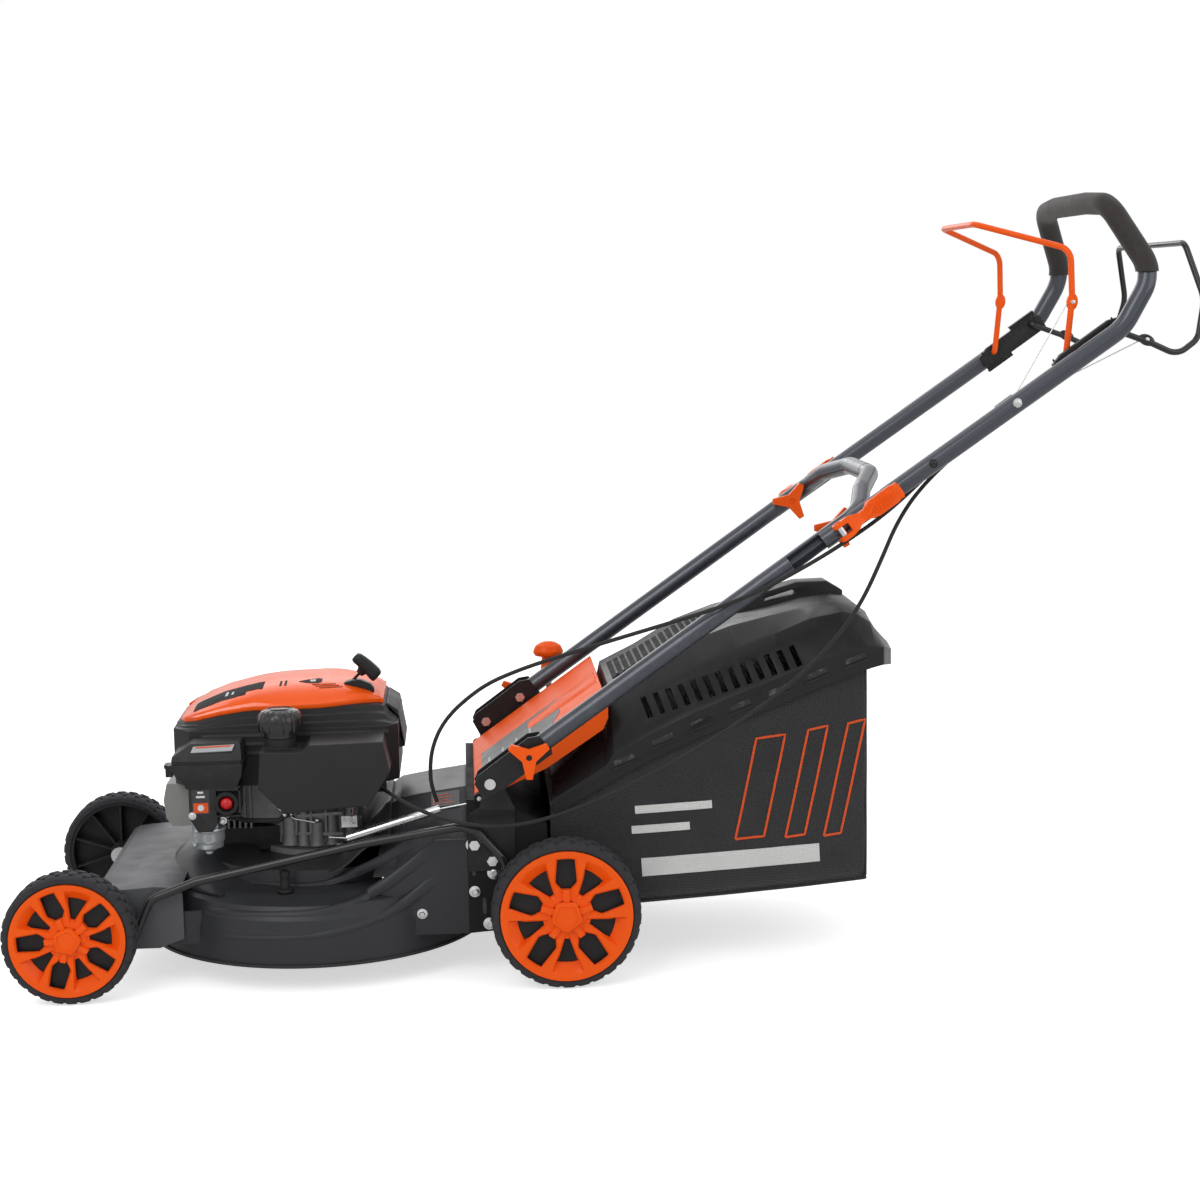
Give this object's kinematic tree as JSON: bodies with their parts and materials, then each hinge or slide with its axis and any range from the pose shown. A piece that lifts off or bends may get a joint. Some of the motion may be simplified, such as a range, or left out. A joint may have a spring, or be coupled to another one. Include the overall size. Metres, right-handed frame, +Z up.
{
  "type": "push lawn mower",
  "caption": "Petrol lawn mower with steel deck, upright-shaft engine, spoked wheels, height lever, folding tube handle with two bails, and a mesh grass catcher under a rear flap.",
  "frame": {"origin": "on the floor under the middle of the machine's bounding box", "axes": "+X to the rear, toward the operator; +Y to the operator's right; +Z up"},
  "size_m": [1.6471, 0.535, 1.0605],
  "materials": {
    "deck_paint": "satin black enamel",
    "grey_plastic": "fine-grained dark grey",
    "black_plastic": "moulded, slightly textured",
    "orange_plastic": "glossy",
    "tyre_rubber": "blocky tread",
    "black_paint": "gloss black",
    "tube_paint": "dark grey metallic",
    "orange_wire": "gloss orange",
    "zinc_steel": "bright zinc",
    "blade_steel": "ground edge",
    "cast_alloy": "as cast",
    "cast_iron": "as cast",
    "foam": "matte foam",
    "hose_rubber": "smooth",
    "red_rubber": "smooth red",
    "cable_sheath": "semi-gloss",
    "bag_mesh": "coarse woven mesh"
  },
  "bodies": {
    "chassis": {"deck_shell": "deck_paint", "deck_tunnel": "deck_paint", "front_apron": "grey_plastic", "rear_frame": "black_plastic", "handle_brackets": "black_paint", "chassis_bolts": "zinc_steel", "wash_port": "black_plastic", "gearbox": "black_paint", "drive_belt": "hose_rubber", "crankcase": "cast_alloy", "cylinder_head": "cast_alloy", "muffler": "black_paint", "blower_housing": "black_plastic", "top_cover": "orange_plastic", "fuel_tank": "black_plastic", "air_filter_housing": "black_plastic", "carburettor": "cast_alloy", "fuel_line": "hose_rubber", "brake_spring": "zinc_steel", "brake_cable": "cable_sheath", "drive_cable": "cable_sheath"},
    "rotor": {"crankshaft": "zinc_steel", "flywheel": "cast_iron", "blade": "blade_steel"},
    "gearbox_pulley": {"gearbox_pulley": "black_paint"},
    "starter_grip": {"starter_grip": "black_plastic"},
    "fuel_cap": {"fuel_cap": "black_plastic"},
    "primer_bulb": {"primer_bulb": "red_rubber"},
    "front_axle": {"front_axle": "black_paint"},
    "rear_axle": {"rear_axle": "black_paint", "height_lever": "black_paint", "height_knob": "orange_plastic"},
    "link_rod": {"link_rod": "black_paint"},
    "lower_handle": {"lower_handle": "tube_paint", "cam_bolts": "zinc_steel"},
    "upper_handle": {"upper_handle": "tube_paint", "foam_grip": "foam", "bail_brackets": "black_plastic", "cable_guide": "black_plastic"},
    "brake_bail": {"brake_bail": "orange_wire"},
    "drive_bail": {"drive_bail": "black_paint"},
    "cam_lever_left": {"cam_lever_left": "orange_plastic"},
    "cam_lever_right": {"cam_lever_right": "orange_plastic"},
    "bracket_knob_left": {"bracket_knob_left": "orange_plastic"},
    "bracket_knob_right": {"bracket_knob_right": "orange_plastic"},
    "grass_bag": {"bag_lid": "black_plastic", "bag_fabric": "bag_mesh"},
    "rear_flap": {"rear_flap": "orange_plastic"},
    "front_left_wheel": {"front_left_tyre": "tyre_rubber", "front_left_wheel_disc": "black_plastic", "front_left_wheel_cover": "orange_plastic"},
    "front_right_wheel": {"front_right_tyre": "tyre_rubber", "front_right_wheel_disc": "black_plastic", "front_right_wheel_cover": "orange_plastic"},
    "rear_left_wheel": {"rear_left_tyre": "tyre_rubber", "rear_left_wheel_disc": "black_plastic", "rear_left_wheel_cover": "orange_plastic"},
    "rear_right_wheel": {"rear_right_tyre": "tyre_rubber", "rear_right_wheel_disc": "black_plastic", "rear_right_wheel_cover": "orange_plastic"}
  },
  "joints": [
    {"name": "height_adjust", "type": "hinge", "parent": "chassis", "child": "rear_axle", "pos_m": [-0.1287, 0, 0.0935], "axis": [0, 1, 0], "range_deg": [0, 48]},
    {"name": "front_crank", "type": "hinge", "parent": "chassis", "child": "front_axle", "pos_m": [-0.676, 0, 0.081], "axis": [0, 1, 0], "range_deg": [-48, 0]},
    {"name": "link_swing", "type": "hinge", "parent": "rear_axle", "child": "link_rod", "pos_m": [-0.1447, -0.2048, 0.1305], "axis": [0, 1, 0], "range_deg": [-48, 0]},
    {"name": "crank_spin", "type": "hinge", "parent": "chassis", "child": "rotor", "pos_m": [-0.4177, 0, 0.06], "axis": [0, 0, 1], "continuous": true},
    {"name": "pulley_spin", "type": "hinge", "parent": "chassis", "child": "gearbox_pulley", "pos_m": [-0.1637, 0, 0.114], "axis": [0, 0, 1], "continuous": true},
    {"name": "starter_pull", "type": "slide", "parent": "chassis", "child": "starter_grip", "axis": [0.7071, 0, 0.7071], "range_m": [0, 0.07], "stiffness_N_per_m": 60, "springref_m": -0.1},
    {"name": "fuel_cap_turn", "type": "hinge", "parent": "chassis", "child": "fuel_cap", "pos_m": [-0.4537, -0.135, 0.35], "axis": [0, 0, 1], "range_deg": [0, 90]},
    {"name": "primer_press", "type": "slide", "parent": "chassis", "child": "primer_bulb", "axis": [0, 1, 0], "range_m": [0, 0.004], "stiffness_N_per_m": 1500},
    {"name": "handle_fold", "type": "hinge", "parent": "chassis", "child": "lower_handle", "pos_m": [-0.1677, 0, 0.281], "axis": [0, 1, 0], "range_deg": [-145, 0], "deforming": ["brake_cable", "drive_cable"]},
    {"name": "upper_handle_fold", "type": "hinge", "parent": "lower_handle", "child": "upper_handle", "pos_m": [0.30978, 0, 0.61237], "axis": [0, -1, 0], "range_deg": [0, 140], "deforming": ["brake_cable", "drive_cable"]},
    {"name": "rear_flap_lift", "type": "hinge", "parent": "chassis", "child": "rear_flap", "pos_m": [-0.1827, 0, 0.251], "axis": [0, 1, 0], "range_deg": [-60, 0]},
    {"name": "brake_bail_pull", "type": "hinge", "parent": "upper_handle", "child": "brake_bail", "pos_m": [0.6233, 0, 0.834], "axis": [0, 1, 0], "range_deg": [0, 32], "stiffness_Nm_per_rad": 1.2, "springref_deg": -20.05},
    {"name": "drive_bail_pull", "type": "hinge", "parent": "upper_handle", "child": "drive_bail", "pos_m": [0.6803, 0, 0.875], "axis": [0, -1, 0], "range_deg": [0, 30], "stiffness_Nm_per_rad": 1.2, "springref_deg": -20.05},
    {"name": "bag_lift_off", "type": "slide", "parent": "chassis", "child": "grass_bag", "axis": [0.866, 0, 0.5], "range_m": [0, 0.3]},
    {"name": "cam_lever_left_open", "type": "hinge", "parent": "lower_handle", "child": "cam_lever_left", "pos_m": [0.30978, -0.2437, 0.61237], "axis": [0.5701, 0, -0.8215], "range_deg": [0, 120]},
    {"name": "bracket_knob_left_turn", "type": "hinge", "parent": "chassis", "child": "bracket_knob_left", "pos_m": [-0.11463, -0.243, 0.31783], "axis": [0, 1, 0], "continuous": true},
    {"name": "cam_lever_right_open", "type": "hinge", "parent": "lower_handle", "child": "cam_lever_right", "pos_m": [0.30978, 0.2437, 0.61237], "axis": [-0.5701, 0, 0.8215], "range_deg": [0, 120]},
    {"name": "bracket_knob_right_turn", "type": "hinge", "parent": "chassis", "child": "bracket_knob_right", "pos_m": [-0.11463, 0.243, 0.31783], "axis": [0, 1, 0], "continuous": true},
    {"name": "front_left_roll", "type": "hinge", "parent": "front_axle", "child": "front_left_wheel", "pos_m": [-0.736, -0.237, 0.089], "axis": [0, 1, 0], "continuous": true},
    {"name": "front_right_roll", "type": "hinge", "parent": "front_axle", "child": "front_right_wheel", "pos_m": [-0.736, 0.237, 0.089], "axis": [0, 1, 0], "continuous": true},
    {"name": "rear_left_roll", "type": "hinge", "parent": "rear_axle", "child": "rear_left_wheel", "pos_m": [-0.0687, -0.237, 0.1015], "axis": [0, 1, 0], "continuous": true},
    {"name": "rear_right_roll", "type": "hinge", "parent": "rear_axle", "child": "rear_right_wheel", "pos_m": [-0.0687, 0.237, 0.1015], "axis": [0, 1, 0], "continuous": true}
  ],
  "couplings": [
    {"joint": "front_crank", "follows": "height_adjust", "ratio": -1},
    {"joint": "link_swing", "follows": "height_adjust", "ratio": -1},
    {"joint": "pulley_spin", "follows": "crank_spin", "ratio": 0.81679}
  ]
}
